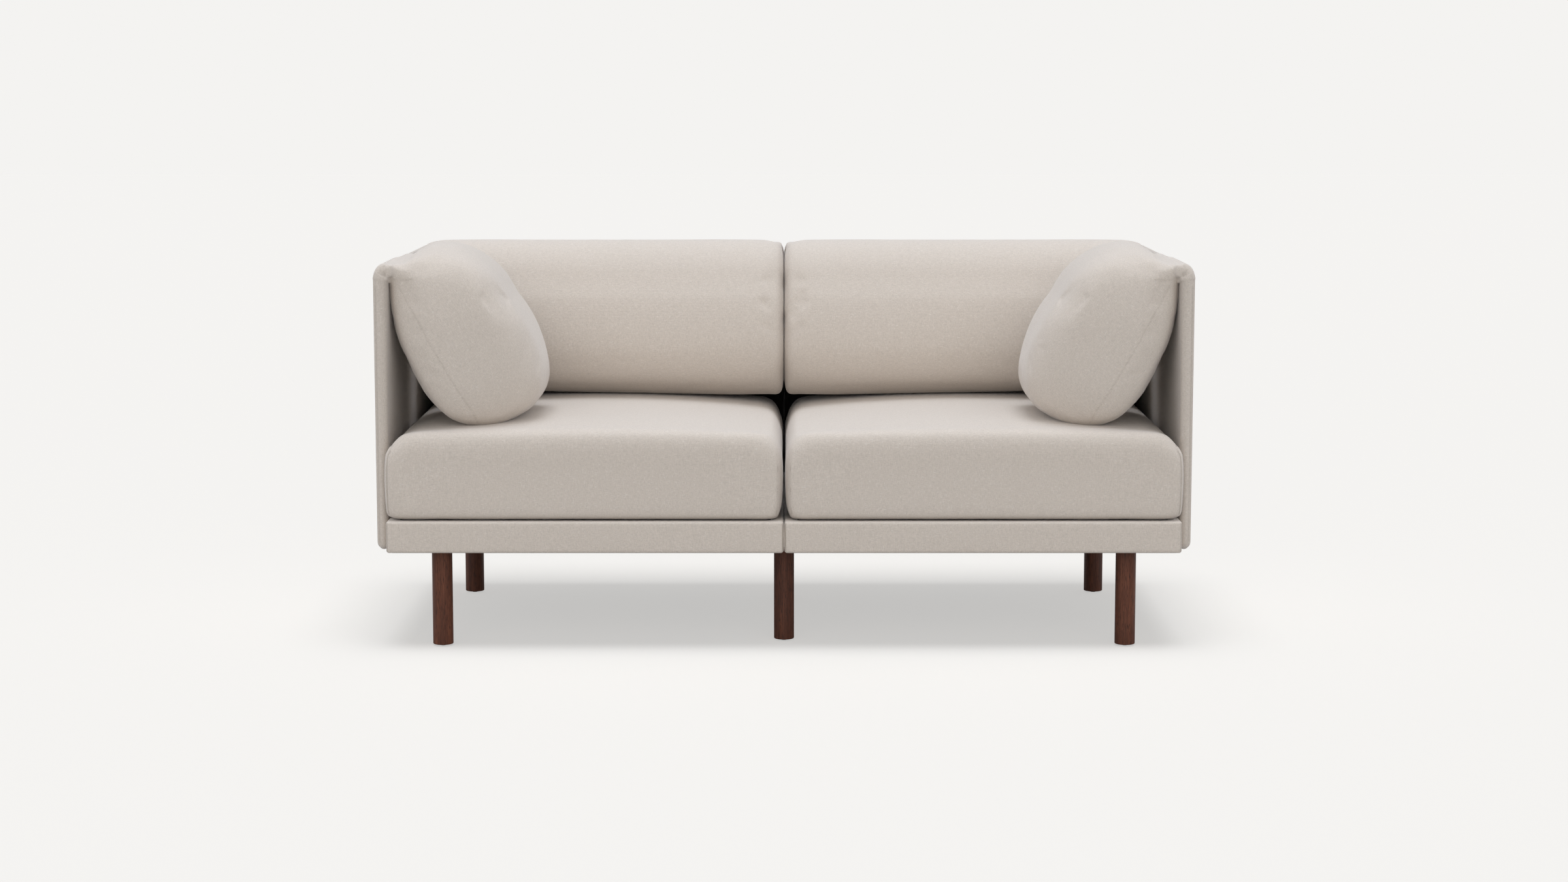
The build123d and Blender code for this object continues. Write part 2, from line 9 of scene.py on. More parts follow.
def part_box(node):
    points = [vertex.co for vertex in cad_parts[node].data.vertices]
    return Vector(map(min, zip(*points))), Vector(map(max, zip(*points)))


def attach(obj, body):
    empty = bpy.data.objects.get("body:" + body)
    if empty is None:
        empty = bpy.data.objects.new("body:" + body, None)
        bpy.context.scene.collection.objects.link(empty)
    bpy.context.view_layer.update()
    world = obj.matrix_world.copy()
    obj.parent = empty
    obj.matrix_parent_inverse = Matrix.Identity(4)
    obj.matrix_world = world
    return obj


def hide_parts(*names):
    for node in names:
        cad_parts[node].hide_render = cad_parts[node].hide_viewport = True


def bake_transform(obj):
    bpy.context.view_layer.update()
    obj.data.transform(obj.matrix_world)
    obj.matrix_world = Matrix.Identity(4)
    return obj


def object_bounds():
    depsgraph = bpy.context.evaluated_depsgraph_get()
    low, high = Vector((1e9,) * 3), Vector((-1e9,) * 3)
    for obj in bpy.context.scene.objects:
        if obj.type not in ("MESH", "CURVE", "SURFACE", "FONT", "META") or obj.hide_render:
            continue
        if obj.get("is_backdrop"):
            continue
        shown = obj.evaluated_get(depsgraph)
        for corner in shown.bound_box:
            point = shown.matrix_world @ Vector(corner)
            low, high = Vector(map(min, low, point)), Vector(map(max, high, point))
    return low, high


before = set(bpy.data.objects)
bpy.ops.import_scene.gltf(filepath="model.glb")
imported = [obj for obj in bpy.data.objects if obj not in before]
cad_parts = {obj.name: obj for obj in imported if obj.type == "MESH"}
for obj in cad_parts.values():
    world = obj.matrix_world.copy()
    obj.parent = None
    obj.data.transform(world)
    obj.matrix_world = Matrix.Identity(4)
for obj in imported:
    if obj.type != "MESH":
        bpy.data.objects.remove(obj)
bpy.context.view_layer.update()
# All lengths below are in metres.

# Legs: six plain round posts turned from solid walnut-stained hardwood, 45 mm thick.
# Each is screwed to its plate by a hanger bolt. The grain runs up the leg, and the
# lower end is eased so that it doesn't splinter.
LEG_DARK = (0.072, 0.0240, 0.0130, 1)
LEG_LIGHT = (0.180, 0.0640, 0.0350, 1)
LEG_PORE = (0.024, 0.010, 0.006, 1)


def new_material(name, colour, roughness):
    """A material of one colour and roughness, and its shader."""
    material = bpy.data.materials.new(name)
    material.use_nodes = True
    shader = material.node_tree.nodes["Principled BSDF"]
    shader.inputs["Base Color"].default_value = (*colour[:3], 1)
    shader.inputs["Roughness"].default_value = roughness
    return material, shader


def add(material, kind, settings=(), **inputs):
    """Adds a node. Its inputs go by name, or by i and a number. Each is a number, a colour
    or another node's output."""
    node = material.node_tree.nodes.new("ShaderNode" + kind)
    for key, value in dict(settings).items():
        setattr(node, key, value)
    for key, value in inputs.items():
        at = int(key[1:]) if key[0] == "i" and key[1:].isdigit() else key.replace("_", " ")
        socket = node.inputs[at]
        if isinstance(value, bpy.types.NodeSocket):
            material.node_tree.links.new(value, socket)
        else:
            socket.default_value = value
    return node


def feed(material, shader, socket, output):
    """Joins a node's output to one of the shader's sockets."""
    material.node_tree.links.new(output, shader.inputs[socket])


def stretched_noise(material, scales, detail=3.0, roughness=0.55, turn=(0, 0, 0)):
    """Noise in the object's own space, drawn out along the axis with the small scale."""
    place = add(material, "TexCoord").outputs["Object"]
    if any(turn):
        place = add(material, "Mapping", Vector=place, Rotation=turn).outputs[0]
    drawn = add(material, "Mapping", Vector=place, Scale=scales)
    return add(material, "TexNoise", Vector=drawn.outputs[0], Scale=1.0, Detail=detail,
               Roughness=roughness).outputs[0]


def ramp(material, factor, stops):
    """Colours along a factor from 0 to 1."""
    node = add(material, "ValToRGB", Fac=factor)
    elements = node.color_ramp.elements
    while len(elements) < len(stops):
        elements.new(0.5)
    for element, (position, colour) in zip(elements, stops):
        element.position = position
        element.color = colour
    return node.outputs[0]


def bump(material, shader, height, distance, strength=1.0):
    """Relief from a height, in metres."""
    node = add(material, "Bump", Height=height, Distance=distance, Strength=strength)
    feed(material, shader, "Normal", node.outputs[0])


def give(material, *names):
    """Puts one material on CAD nodes."""
    for name in names:
        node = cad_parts[name]
        node.data.materials.clear()
        node.data.materials.append(material)


leg_wood, shader = new_material("walnut_stained_wood", LEG_LIGHT, 0.42)
figure = stretched_noise(leg_wood, (38, 38, 3.2), 4.0, 0.6)
grain = stretched_noise(leg_wood, (420, 420, 16), 4.0, 0.65)
pores = stretched_noise(leg_wood, (1100, 1100, 55), 2.0, 0.5)
body_tone = ramp(leg_wood, figure, [(0.28, LEG_DARK), (0.72, LEG_LIGHT)])
fine_tone = ramp(leg_wood, grain, [(0.32, (0.55, 0.52, 0.5, 1)), (0.68, (1.22, 1.2, 1.18, 1))])
toned = add(leg_wood, "Mix", {"data_type": "RGBA", "blend_type": "MULTIPLY"},
            i0=1.0, i6=body_tone, i7=fine_tone).outputs[2]
pore_mask = ramp(leg_wood, pores, [(0.34, (1, 1, 1, 1)), (0.42, (0, 0, 0, 1))])
wood_colour = add(leg_wood, "Mix", {"data_type": "RGBA"}, i0=pore_mask, i6=toned, i7=LEG_PORE)
feed(leg_wood, shader, "Base Color", wood_colour.outputs[2])
worn = add(leg_wood, "MapRange", Value=grain, i3=0.42, i4=0.58)
feed(leg_wood, shader, "Roughness", worn.outputs[0])
shader.inputs["Specular IOR Level"].default_value = 0.28
bump(leg_wood, shader, grain, 0.00025, 0.5)
give(leg_wood, *[f"leg_{at}" for at in (
    "front_left", "front_right", "front_middle", "rear_left", "rear_right", "rear_middle")])

# Glides: black nylon domes with a nail, driven into the foot of each leg. The moulded
# skin is matt and very finely grained, scuffed a little where it slides.
glide_nylon, shader = new_material("black_nylon", (0.012, 0.012, 0.013), 0.5)
scuffs = stretched_noise(glide_nylon, (700, 700, 700), 3.0, 0.6)
scuffed = ramp(glide_nylon, scuffs, [(0.35, (0.008, 0.008, 0.009, 1)),
                                     (0.75, (0.028, 0.028, 0.029, 1))])
feed(glide_nylon, shader, "Base Color", scuffed)
bump(glide_nylon, shader, scuffs, 0.0001, 0.4)
give(glide_nylon, "glides")

# Fixings: zinc-plated steel plates with weld nuts, hanger bolts, countersunk screws, and
# the bolts that hold the panels and join the two modules. The plating is faintly mottled.
zinc, shader = new_material("zinc_plate", (0.50, 0.51, 0.53), 0.34)
shader.inputs["Metallic"].default_value = 1.0
mottle = stretched_noise(zinc, (130, 130, 130), 4.0, 0.6)
zinc_tone = ramp(zinc, mottle, [(0.3, (0.42, 0.43, 0.45, 1)), (0.7, (0.60, 0.60, 0.61, 1))])
feed(zinc, shader, "Base Color", zinc_tone)
zinc_rough = add(zinc, "MapRange", Value=mottle, i3=0.26, i4=0.44)
feed(zinc, shader, "Roughness", zinc_rough.outputs[0])
give(zinc, "hanger_bolts", "leg_plates", "link_plates", "plate_screws", "arm_bolts", "back_bolts",
     "link_bolts", "spring_clips_left", "spring_clips_right")

# Base frame: pine rails 25 mm thick, glued and screwed into a ring for each module, with
# blocks in the corners for the leg plates. Sawn and planed, never seen once covered.
pine, shader = new_material("planed_pine", (0.52, 0.36, 0.20), 0.62)
rings = stretched_noise(pine, (5, 22, 60), 4.0, 0.6)
fibres = stretched_noise(pine, (28, 300, 420), 3.0, 0.6)
pine_tone = ramp(pine, rings, [(0.35, (0.40, 0.24, 0.115, 1)), (0.5, (0.53, 0.36, 0.20, 1)),
                               (0.7, (0.62, 0.45, 0.27, 1))])
pine_fine = ramp(pine, fibres, [(0.3, (0.82, 0.80, 0.77, 1)), (0.7, (1.1, 1.09, 1.08, 1))])
pine_mix = add(pine, "Mix", {"data_type": "RGBA", "blend_type": "MULTIPLY"},
               i0=1.0, i6=pine_tone, i7=pine_fine)
feed(pine, shader, "Base Color", pine_mix.outputs[2])
bump(pine, shader, fibres, 0.0003, 0.5)
give(pine, *[f"{part}_{side}" for side in ("left", "right") for part in (
    "front_rail", "rear_rail", "outer_rail", "inner_rail", "leg_blocks")])

# Springs: drawn steel wire bent into a zigzag, five to a module, hooked in clips on the
# front and rear rails. Oiled, so it is darker than the plating and streaked along.
spring_wire, shader = new_material("spring_wire", (0.20, 0.20, 0.21), 0.38)
shader.inputs["Metallic"].default_value = 1.0
drawn_marks = stretched_noise(spring_wire, (220, 220, 220), 3.0, 0.6)
wire_tone = ramp(spring_wire, drawn_marks, [(0.3, (0.14, 0.14, 0.15, 1)),
                                            (0.7, (0.30, 0.30, 0.31, 1))])
feed(spring_wire, shader, "Base Color", wire_tone)
give(spring_wire, "zigzag_springs_left", "zigzag_springs_right")

# Deck: a needled felt pad lies on the springs, and a black non-woven cloth is stretched
# over it and stapled to the rails. The pad is a dense soft slab with a fuzzy skin, and
# the cloth dips a little between its staples.
SHEET_THICKNESS = 0.0012
PAD_ROOM_BELOW, PAD_ROOM_ABOVE = 0.0006, 0.0008
PAD_CUTS, SHEET_CUTS, DUST_CUTS = 31, 29, 31
PAD_RIPPLE = 0.0005
SHEET_DIP = 0.0003


def only(piece):
    """Makes one piece the only selected and the active one."""
    bpy.ops.object.select_all(action="DESELECT")
    piece.select_set(True)
    bpy.context.view_layer.objects.active = piece


def finish_modifiers(piece):
    """Applies every modifier of a piece, in their order."""
    only(piece)
    for modifier in list(piece.modifiers):
        bpy.ops.object.modifier_apply(modifier=modifier.name)


def block(name, low, high):
    """A plain box between two corners."""
    low, high = Vector(low), Vector(high)
    bpy.ops.object.select_all(action="DESELECT")
    bpy.ops.mesh.primitive_cube_add(size=1, location=(low + high) / 2, scale=high - low)
    piece = bpy.context.object
    piece.name = name
    bpy.ops.object.transform_apply(location=True, rotation=True, scale=True)
    return piece


def slab(name, low, high, cuts):
    """A box between two corners, each of its faces cut into an even grid."""
    piece = block(name, low, high)
    bpy.ops.object.mode_set(mode="EDIT")
    bpy.ops.mesh.select_all(action="SELECT")
    bpy.ops.mesh.subdivide(number_cuts=cuts)
    bpy.ops.object.mode_set(mode="OBJECT")
    return piece


def points_of(piece):
    """The piece's vertices as an array, one row each."""
    points = np.empty(len(piece.data.vertices) * 3)
    piece.data.vertices.foreach_get("co", points)
    return points.reshape(-1, 3)


def set_points(piece, points):
    """Moves the piece's vertices to the rows of an array."""
    piece.data.vertices.foreach_set("co", points.astype(np.float32).ravel())
    piece.data.update()


def shares(points, low, high):
    """How far across and along a box each point lies, from 0 to 1."""
    return [(points[:, axis] - low[axis]) / (high[axis] - low[axis]) for axis in (0, 1)]


def dress(piece, material, body):
    """Material, soft shading, finish slot and the body that the piece rides on."""
    piece.data.materials.clear()
    piece.data.materials.append(material)
    piece.data.polygons.foreach_set("use_smooth", [True] * len(piece.data.polygons))
    if body:
        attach(piece, body)


felt, shader = new_material("needled_felt", (0.13, 0.125, 0.12), 0.95)
fuzz = stretched_noise(felt, (420, 420, 420), 4.0, 0.7)
felt_tone = ramp(felt, fuzz, [(0.3, (0.07, 0.068, 0.066, 1)), (0.7, (0.21, 0.20, 0.19, 1))])
feed(felt, shader, "Base Color", felt_tone)
bump(felt, shader, fuzz, 0.001, 0.8)

black_cloth, shader = new_material("black_nonwoven", (0.017, 0.017, 0.018), 0.85)
fibre_mat = stretched_noise(black_cloth, (900, 900, 900), 3.0, 0.7)
cloth_tone = ramp(black_cloth, fibre_mat, [(0.3, (0.010, 0.010, 0.011, 1)),
                                           (0.7, (0.032, 0.032, 0.033, 1))])
feed(black_cloth, shader, "Base Color", cloth_tone)
bump(black_cloth, shader, fibre_mat, 0.0004, 0.6)

for side in ("left", "right"):
    low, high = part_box(f"deck_pad_{side}")
    pad = slab(f"felt_pad_{side}", low + Vector((0, 0, PAD_ROOM_BELOW)),
               high - Vector((0, 0, PAD_ROOM_ABOVE)), PAD_CUTS)
    points = points_of(pad)
    x, y, z = points.T
    ripple = np.sin(x * 41) * np.sin(y * 37)
    z += PAD_RIPPLE * ripple
    set_points(pad, points)
    pad.modifiers.new("edge", "BEVEL").width = 0.002
    finish_modifiers(pad)
    dress(pad, felt, "frame")
    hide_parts(f"deck_pad_{side}")

    low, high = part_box(f"deck_cloth_{side}")
    cloth = slab(f"deck_sheet_{side}", (low.x, low.y, high.z - SHEET_THICKNESS), high,
                 SHEET_CUTS)
    points = points_of(cloth)
    x, y, z = points.T
    across, along = shares(points, low, high)
    from_edge = np.minimum(np.minimum(across, 1 - across), np.minimum(along, 1 - along))
    inside = np.clip(from_edge * 9, 0, 1)
    z -= SHEET_DIP * (1 + np.sin(x * 62) * np.cos(y * 57)) * inside
    set_points(cloth, points)
    dress(cloth, black_cloth, "frame")
    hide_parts(f"deck_cloth_{side}")

# Dust covers: the same black cloth closes each module from below. It is cut round the
# leg plates, folded under and stapled to the rails, and sags slightly in the middle.
DUST_SAG = 0.004
# Half the width and depth of the notches round the legs' plates and the link plates.
LEG_NOTCH = (0.0308, 0.0308)
LINK_NOTCH = (0.0288, 0.0328)

for side in ("left", "right"):
    low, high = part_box(f"dust_cover_{side}")
    dust = slab(f"dust_sheet_{side}", (low.x, low.y, low.z),
                (high.x, high.y, low.z + SHEET_THICKNESS), DUST_CUTS)
    cutters = []
    for leg in (f"leg_front_{side}", f"leg_rear_{side}", "leg_front_middle", "leg_rear_middle"):
        leg_low, leg_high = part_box(leg)
        at = (leg_low + leg_high) / 2
        half = Vector((*(LINK_NOTCH if "middle" in leg else LEG_NOTCH), 0))
        bpy.ops.object.select_all(action="DESELECT")
        bpy.ops.mesh.primitive_cube_add(size=1, location=(at.x, at.y, low.z),
                                        scale=(half.x * 2, half.y * 2, 0.02))
        cutters.append(bpy.context.object)
        trim = dust.modifiers.new("cut", "BOOLEAN")
        trim.operation = "DIFFERENCE"
        trim.object = cutters[-1]
    finish_modifiers(dust)
    for cutter in cutters:
        bpy.data.objects.remove(cutter)
    points = points_of(dust)
    x, y, z = points.T
    across, along = shares(points, low, high)
    hang = np.clip(across * (1 - across) * 4, 0, 1) * np.clip(along * (1 - along) * 4, 0, 1)
    folds = np.sin(x * 90) * np.sin(y * 23 + 1.2)
    z -= DUST_SAG * hang ** 1.4 * (1 + 0.12 * folds)
    set_points(dust, points)
    dress(dust, black_cloth, "frame")
    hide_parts(f"dust_cover_{side}")

# Base covers: upholstery cloth is pulled round each module's rails over a thin layer of
# wadding and stapled inside and underneath. The cloth is a warm light grey linen-look
# plain weave with slubs, sewn at the upright corners.
CLOTH = (0.665, 0.606, 0.548)
THREAD_DARK, THREAD_LIGHT = 0.90, 1.085
SLUB = (0.34, 0.33, 0.31, 1)
# Painted shade: the colour that darkens the cloth along the seams' furrows.
SEAM_PAINTED_SHADE = (0.62, 0.59, 0.56, 1)
# Painted shade: the near black put on the cloth in the hollow behind the cushions.
CAVITY_PAINTED_SHADE = (0.020, 0.018, 0.016, 1)
THREAD_PITCH = 0.0018
THREAD_RELIEF = 0.16


def weave(name, turn=(0, 0, 0)):
    """The upholstery cloth. Its threads follow the turned axes of the piece."""
    cloth, shader = new_material(name, CLOTH, 0.92)
    total = None
    for scales in ((130, 640, 640), (640, 130, 640), (640, 640, 130)):
        drawn = stretched_noise(cloth, scales, 1.5, 0.5, turn)
        total = drawn if total is None else add(
            cloth, "Math", {"operation": "ADD"}, i0=total, i1=drawn).outputs[0]
    threads = add(cloth, "MapRange", Value=total, i1=1.1, i2=1.9).outputs[0]
    colour = ramp(cloth, threads, [
        (0.0, tuple(THREAD_DARK * c for c in CLOTH) + (1,)), (0.5, (*CLOTH, 1)),
        (1.0, tuple(min(1, THREAD_LIGHT * c) for c in CLOTH) + (1,))])
    for scales in ((120, 760, 760), (760, 760, 120)):
        slub = stretched_noise(cloth, scales, 0.0, 0.5, turn)
        bright = ramp(cloth, slub, [(0.70, (0, 0, 0, 1)), (0.80, (0.6, 0.6, 0.6, 1))])
        colour = add(cloth, "Mix", {"data_type": "RGBA", "blend_type": "SCREEN"},
                     i0=bright, i6=colour, i7=SLUB).outputs[2]
    # Painted shade along the seams' furrows, as deep as each seam's tone.
    seam = add(cloth, "Attribute", {"attribute_name": "seam"}).outputs["Fac"]
    colour = add(cloth, "Mix", {"data_type": "RGBA", "blend_type": "MULTIPLY"},
                 i0=seam, i6=colour, i7=SEAM_PAINTED_SHADE).outputs[2]
    # Painted shade: near black where the cloth lies in the hollow behind the cushions.
    lining = add(cloth, "Attribute", {"attribute_name": "lining"}).outputs["Fac"]
    colour = add(cloth, "Mix", {"data_type": "RGBA"},
                 i0=lining, i6=colour, i7=CAVITY_PAINTED_SHADE).outputs[2]
    feed(cloth, shader, "Base Color", colour)
    place = add(cloth, "TexCoord").outputs["Object"]
    placed = add(cloth, "Mapping", Vector=place, Rotation=turn,
                 Scale=(2 * math.pi / THREAD_PITCH,) * 3).outputs[0]
    axes = add(cloth, "SeparateXYZ", Vector=placed)
    height = threads
    for axis in range(3):
        wave = add(cloth, "Math", {"operation": "SINE"}, i0=axes.outputs[axis]).outputs[0]
        height = add(cloth, "Math", {"operation": "MULTIPLY_ADD"},
                     i0=wave, i1=THREAD_RELIEF, i2=height).outputs[0]
    bump(cloth, shader, height, 0.0004, 0.5)
    shader.inputs["Sheen Weight"].default_value = 0.36
    shader.inputs["Sheen Roughness"].default_value = 0.38
    shader.inputs["Sheen Tint"].default_value = (0.96, 0.97, 1.0, 1)
    shader.inputs["Specular IOR Level"].default_value = 0.18
    return cloth


upright_weave = weave("linen_upright")


def sew(piece, lines, width=0.003, depth=0.0015, tone=1.0):
    """Draws a sewn line into a piece: a narrow furrow along lines laid on its surface, with
    painted shade along the furrow, darker by its tone."""
    step_length = 0.001
    bpy.context.view_layer.update()
    marks = []
    for line in lines:
        for start, end in zip(line, line[1:]):
            start, end = Vector(start), Vector(end)
            steps = max(1, round((end - start).length / step_length))
            for step in range(steps + 1):
                at = start.lerp(end, step / steps)
                marks.append(piece.closest_point_on_mesh(at)[1])
    tree = KDTree(len(marks))
    for number, mark in enumerate(marks):
        tree.insert(mark, number)
    tree.balance()
    near = np.array([tree.find(vertex.co)[2] for vertex in piece.data.vertices])
    normals = np.array([vertex.normal for vertex in piece.data.vertices])
    furrow = depth * np.exp(-((near / width) ** 2))
    set_points(piece, points_of(piece) - normals * furrow[:, None])
    # The furrow's painted shade is kept in a vertex attribute that darkens the cloth.
    seam = (piece.data.attributes.get("seam")
            or piece.data.attributes.new("seam", "FLOAT", "POINT"))
    before = np.zeros(len(near), np.float32)
    seam.data.foreach_get("value", before)
    drawn = (tone * np.exp(-((near / (0.55 * width)) ** 2))).astype(np.float32)
    seam.data.foreach_set("value", np.maximum(before, drawn))


def mirrored(piece, name):
    """The same piece for the other module, turned right way out again."""
    twin = bpy.data.objects.new(name, piece.data.copy())
    bpy.context.scene.collection.objects.link(twin)
    set_points(twin, points_of(twin) * (-1, 1, 1))
    only(twin)
    bpy.ops.object.mode_set(mode="EDIT")
    bpy.ops.mesh.select_all(action="SELECT")
    bpy.ops.mesh.flip_normals()
    bpy.ops.object.mode_set(mode="OBJECT")
    return twin


def choose_faces(piece, wanted):
    """Goes into edit mode with just the faces selected that pass a test."""
    only(piece)
    bpy.context.tool_settings.mesh_select_mode = (False, False, True)
    bpy.ops.object.mode_set(mode="EDIT")
    bpy.ops.mesh.select_all(action="DESELECT")
    bpy.ops.object.mode_set(mode="OBJECT")
    for face in piece.data.polygons:
        face.select = wanted(face)
    bpy.ops.object.mode_set(mode="EDIT")


def slice_through(piece, axis, places):
    """Cuts edge loops right through a piece, square to an axis."""
    only(piece)
    square = Vector((axis == 0, axis == 1, axis == 2))
    bpy.ops.object.mode_set(mode="EDIT")
    for place in places:
        bpy.ops.mesh.select_all(action="SELECT")
        bpy.ops.mesh.bisect(plane_co=square * place, plane_no=square)
    bpy.ops.object.mode_set(mode="OBJECT")


def rising(values, start, over):
    """0 up to a start, and growing from there to 1 over a length."""
    return np.clip((values - start) / over, 0, 1)


BASE_WRAP = 0.028
BASE_EDGE = 0.0055
BASE_BULGE, INNER_BULGE = 0.0011, 0.0015
BASE_GRIDS = (60, 60, 7)
ON_FACE = 0.0005
CORNER_IN, CORNER_UP = 0.0016, 0.004
base_low, base_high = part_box("base_cover_right")
base = block("base_upholstery_right", base_low, base_high)
choose_faces(base, lambda face: abs(face.normal.z) > 0.9)
bpy.ops.mesh.inset(thickness=BASE_WRAP)
bpy.ops.mesh.delete(type="FACE")
bpy.ops.object.mode_set(mode="OBJECT")
edge = base.modifiers.new("edge", "BEVEL")
edge.width = BASE_EDGE
edge.segments = 4
edge.limit_method = "ANGLE"
finish_modifiers(base)
for axis, parts in enumerate(BASE_GRIDS):
    step = (base_high[axis] - base_low[axis]) / parts
    slice_through(base, axis, [base_low[axis] + step * number for number in range(1, parts)])
points = points_of(base)
x, y, z = points.T
belly = np.sin(np.pi * rising(z, base_low.z, base_high.z - base_low.z)) ** 0.7
uneven = 0.6 + 0.25 * np.sin(x * 19 + 0.7) + 0.15 * np.sin(y * 23 + x * 11)
front_face, rear_face = y < base_low.y + ON_FACE, y > base_high.y - ON_FACE
y += np.where(front_face, -BASE_BULGE, np.where(rear_face, BASE_BULGE, 0)) * belly * uneven
y[:] = np.minimum(y, base_high.y)
x -= np.where(x < base_low.x + ON_FACE, INNER_BULGE, 0) * belly
set_points(base, points)
wall = base.modifiers.new("wall", "SOLIDIFY")
wall.thickness = 0.0024
wall.offset = -1
finish_modifiers(base)
uprights = [[(at_x, at_y, base_low.z + CORNER_UP), (at_x, at_y, base_high.z - CORNER_UP)]
            for at_x in (base_low.x + CORNER_IN, base_high.x - CORNER_IN)
            for at_y in (base_low.y + CORNER_IN, base_high.y - CORNER_IN)]
sew(base, uprights, 0.0022, 0.0007)
for base_piece in (base, mirrored(base, "base_upholstery_left")):
    side = base_piece.name.rsplit("_", 1)[1]
    dress(base_piece, upright_weave, "frame")
    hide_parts(f"base_cover_{side}")

# Arm and back panels: a 15 mm plywood board is wrapped in wadding and in the same cloth,
# with thickly padded, soft edges, and the cover is sewn up the arm panels' front edges.
# Behind the cushions the back panel's cloth is painted near black, as painted shade in the hollow
# there.
plywood, shader = new_material("birch_plywood", (0.58, 0.43, 0.27), 0.55)
ply_figure = stretched_noise(plywood, (9, 9, 30), 4.0, 0.6)
ply_tone = ramp(plywood, ply_figure, [(0.35, (0.50, 0.35, 0.20, 1)), (0.7, (0.66, 0.51, 0.34, 1))])
feed(plywood, shader, "Base Color", ply_tone)
bump(plywood, shader, ply_figure, 0.0002, 0.4)
give(plywood, "arm_board_left", "arm_board_right", "back_board_left", "back_board_right")


SECTORS = 60


def falling(values, end, over):
    """1 at first, and shrinking over a length to 0 at its end."""
    return np.clip((end - values) / over, 0, 1)


def reach_round(points, axis, centre):
    """How far the middle of a long piece reaches from its centre line, in sectors round it."""
    across = [number for number in range(3) if number != axis]
    offsets = points[:, across] - np.array(centre)[across]
    turns = np.arctan2(offsets[:, 1], offsets[:, 0])
    reach = np.zeros(SECTORS)
    middle = np.abs(points[:, axis] - centre[axis]) < 0.05
    sector = ((turns[middle] + math.pi) / (2 * math.pi) * SECTORS).astype(int) % SECTORS
    np.maximum.at(reach, sector, np.hypot(offsets[middle, 0], offsets[middle, 1]))
    return reach, turns, offsets, across


def softened(node, name, grain, rounds, grow=0.0, firm=None, axis=None, centre=None,
             fuller=((0, 0),)):
    """A copy of a CAD solid in even small faces, its edges eased, then grown back. Where firm
    gives 1, the edges stay as they are. Along an axis, the piece's middle keeps its section,
    made fuller by some millimetres at some degrees round its centre."""
    piece = bpy.data.objects.new(name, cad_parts[node].data.copy())
    bpy.context.scene.collection.objects.link(piece)
    piece.modifiers.new("whole", "WELD").merge_threshold = 0.00001
    even = piece.modifiers.new("even", "REMESH")
    even.mode = "VOXEL"
    even.voxel_size = grain
    finish_modifiers(piece)
    before = points_of(piece)
    if rounds:
        group = piece.vertex_groups.new(name="eased")
        share = np.ones(len(before)) if firm is None else 1 - firm(before)
        for number, value in enumerate(share):
            group.add([number], float(value), "REPLACE")
        ease = piece.modifiers.new("ease", "SMOOTH")
        ease.factor = 0.5
        ease.iterations = rounds
        ease.vertex_group = "eased"
        finish_modifiers(piece)
        piece.vertex_groups.clear()
    if axis is not None:
        points = points_of(piece)
        wanted = reach_round(before, axis, centre)[0]
        reach, turns, offsets, across = reach_round(points, axis, centre)
        places = (np.arange(SECTORS) + 0.5) / SECTORS * 2 * math.pi - math.pi
        extra = np.interp(np.degrees(places), [at for at, _ in fuller],
                          [size for _, size in fuller], period=360)
        ratio = (wanted + extra / 1000) / np.maximum(reach, 1e-6)
        for _ in range(8):
            ratio = (np.roll(ratio, 1) + 2 * ratio + np.roll(ratio, -1)) / 4
        scale = np.interp(turns, places, ratio, period=2 * math.pi)
        points[:, across] = np.array(centre)[across] + offsets * scale[:, None]
        set_points(piece, points)
    if grow:
        normals = np.array([vertex.normal for vertex in piece.data.vertices])
        share = 1 if firm is None else (1 - firm(points_of(piece)))[:, None]
        set_points(piece, points_of(piece) + normals * grow * share)
    return piece


def halve_faces(piece):
    """Cuts every face into four smaller ones, which round the surface."""
    finer = piece.modifiers.new("finer", "SUBSURF")
    finer.levels = finer.render_levels = 1
    finish_modifiers(piece)


PANEL_GRAIN = 0.009
PANEL_GROW = 0.0003
CAVITY_SHADE_TOP, CAVITY_SHADE_DEPTH = 0.62, 0.016
ARM_DIP = 0.005
EDGE_SEAM_IN, EDGE_SEAM_TOP = 0.0035, 0.80
arm_panel = softened("arm_cover_right", "arm_panel_right", PANEL_GRAIN, 1, PANEL_GROW)
halve_faces(arm_panel)
arm_low, arm_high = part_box("arm_cover_right")
back_panel = softened("back_cover_right", "back_panel_right", PANEL_GRAIN, 1, PANEL_GROW)
halve_faces(back_panel)
back_low, back_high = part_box("back_cover_right")
points = points_of(back_panel)
x, y, z = points.T
inner_edge = falling(x, back_low.x + 0.012, 0.012)
outer_edge = rising(x - back_high.x, -0.02, 0.02)
leaning = falling(z, 0.86, 0.5)
x += outer_edge * (0.0006 + 0.006 * leaning) - inner_edge * 0.0024
set_points(back_panel, points)
# Painted shade: behind the cushions and below their tops the panel's cloth is painted near black.
lining = back_panel.data.attributes.new("lining", "FLOAT", "POINT")
hidden = (y < back_high.y - CAVITY_SHADE_DEPTH) & (z < CAVITY_SHADE_TOP)
lining.data.foreach_set("value", hidden.astype(np.float32))
points = points_of(arm_panel)
x, y, z = points.T
z -= ARM_DIP * (rising(y, -0.16, 0.12) * rising(z, 0.80, 0.04))
set_points(arm_panel, points)
edge_x, edge_y = arm_high.x - EDGE_SEAM_IN, arm_low.y + EDGE_SEAM_IN
sew(arm_panel, [[(edge_x, edge_y, arm_low.z + 0.02), (edge_x, edge_y, EDGE_SEAM_TOP)]],
    0.0025, 0.0006)
for panel, kind in ((arm_panel, "arm"), (back_panel, "back")):
    for made in (panel, mirrored(panel, f"{kind}_panel_left")):
        side = made.name.rsplit("_", 1)[1]
        dress(made, upright_weave, "frame")
        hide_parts(f"{kind}_cover_{side}")

# Seat cushions: a foam block in a boxed cover, crowned on top. The front, top and back
# are one strip, and a side panel is sewn in along each side's outline. The outer front
# corners swell out past the arm panels' inner faces.


